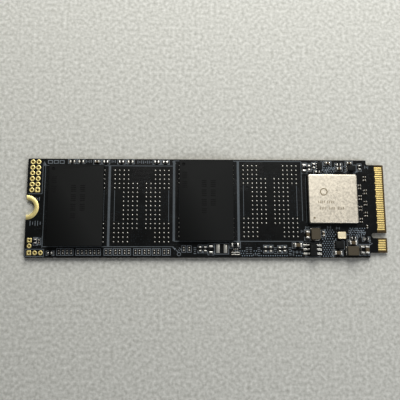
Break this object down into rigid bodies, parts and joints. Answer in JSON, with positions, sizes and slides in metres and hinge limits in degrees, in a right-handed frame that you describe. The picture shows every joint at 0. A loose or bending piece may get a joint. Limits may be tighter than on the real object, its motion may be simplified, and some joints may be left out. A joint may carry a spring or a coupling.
{
  "type": "solid state drive",
  "caption": "Bare 80 mm M.2 solid state drive card, black, with flash packages, a metal-lidded controller, gold edge contacts and a screw notch.",
  "frame": {"origin": "centre of the card's underside", "axes": "+X along the card towards the edge connector, +Y across the card away from the key slot, +Z out of the component side"},
  "size_m": [0.08, 0.022, 0.0022],
  "materials": {
    "fr4_laminate": "glass-filled epoxy, bare at the routed edges and round the contacts",
    "solder_mask": "black epoxy mask, satin",
    "legend_ink": "printed grey legend",
    "gold_plating": "gold over nickel",
    "copper": "bare copper, hidden under solder",
    "solder": "reflowed tin, satin",
    "mould_compound": "moulded epoxy, fine matte grain",
    "package_substrate": "resin laminate",
    "silicon": "polished",
    "bonding_resin": "cured resin",
    "nickel_plated_copper": "satin nickel with a bright bevel",
    "capacitor_ceramic": "fired brown ceramic",
    "alumina": "fired white ceramic",
    "resistor_glaze": "black overcoat",
    "tinned_metal": "bright tin plating",
    "pressed_iron_powder": "pressed powder, grey brown",
    "crystal_ceramic": "dark brown ceramic",
    "quartz": "clear",
    "gold_flashed_kovar": "pale gold, satin"
  },
  "bodies": {
    "root": {"board_laminate": "fr4_laminate", "solder_mask_top": "solder_mask", "solder_mask_underside": "solder_mask", "legend_frames": "legend_ink", "legend_outlines": "legend_ink", "legend_marks": "legend_ink", "tented_vias": "solder_mask", "contacts_top": "gold_plating", "contacts_underside": "gold_plating", "screw_notch_plating": "gold_plating", "service_header_plating": "gold_plating", "corner_test_lands": "gold_plating", "flash_site_1_lands": "copper", "flash_site_2_lands": "copper", "flash_site_3_lands": "copper", "flash_site_4_lands": "copper", "flash_site_2_solder": "solder", "flash_site_4_solder": "solder", "flash_side_solder": "solder", "flash_1_balls": "solder", "flash_1_substrate": "package_substrate", "flash_1_dies": "silicon", "flash_1_mould": "mould_compound", "flash_2_balls": "solder", "flash_2_substrate": "package_substrate", "flash_2_dies": "silicon", "flash_2_mould": "mould_compound", "controller_lands": "copper", "controller_balls": "solder", "controller_substrate": "package_substrate", "controller_underfill": "bonding_resin", "controller_die": "silicon", "controller_thermal_compound": "bonding_resin", "controller_lid_bond": "bonding_resin", "controller_lid": "nickel_plated_copper", "component_lands": "copper", "component_solder": "solder", "spare_land_solder": "solder", "capacitor_0201_bodies": "capacitor_ceramic", "capacitor_0201_caps": "tinned_metal", "capacitor_0402_bodies": "capacitor_ceramic", "capacitor_0402_caps": "tinned_metal", "capacitor_0603_bodies": "capacitor_ceramic", "capacitor_0603_caps": "tinned_metal", "resistor_bases": "alumina", "resistor_coats": "resistor_glaze", "resistor_caps": "tinned_metal", "inductor_cores": "pressed_iron_powder", "inductor_windings": "copper", "inductor_terminals": "tinned_metal", "crystal_base": "crystal_ceramic", "crystal_blank": "quartz", "crystal_lid": "gold_flashed_kovar", "regulator_body": "mould_compound", "regulator_leads": "tinned_metal", "load_switch": "mould_compound", "voltage_supervisor": "mould_compound", "core_converter": "mould_compound"}
  },
  "joints": []
}
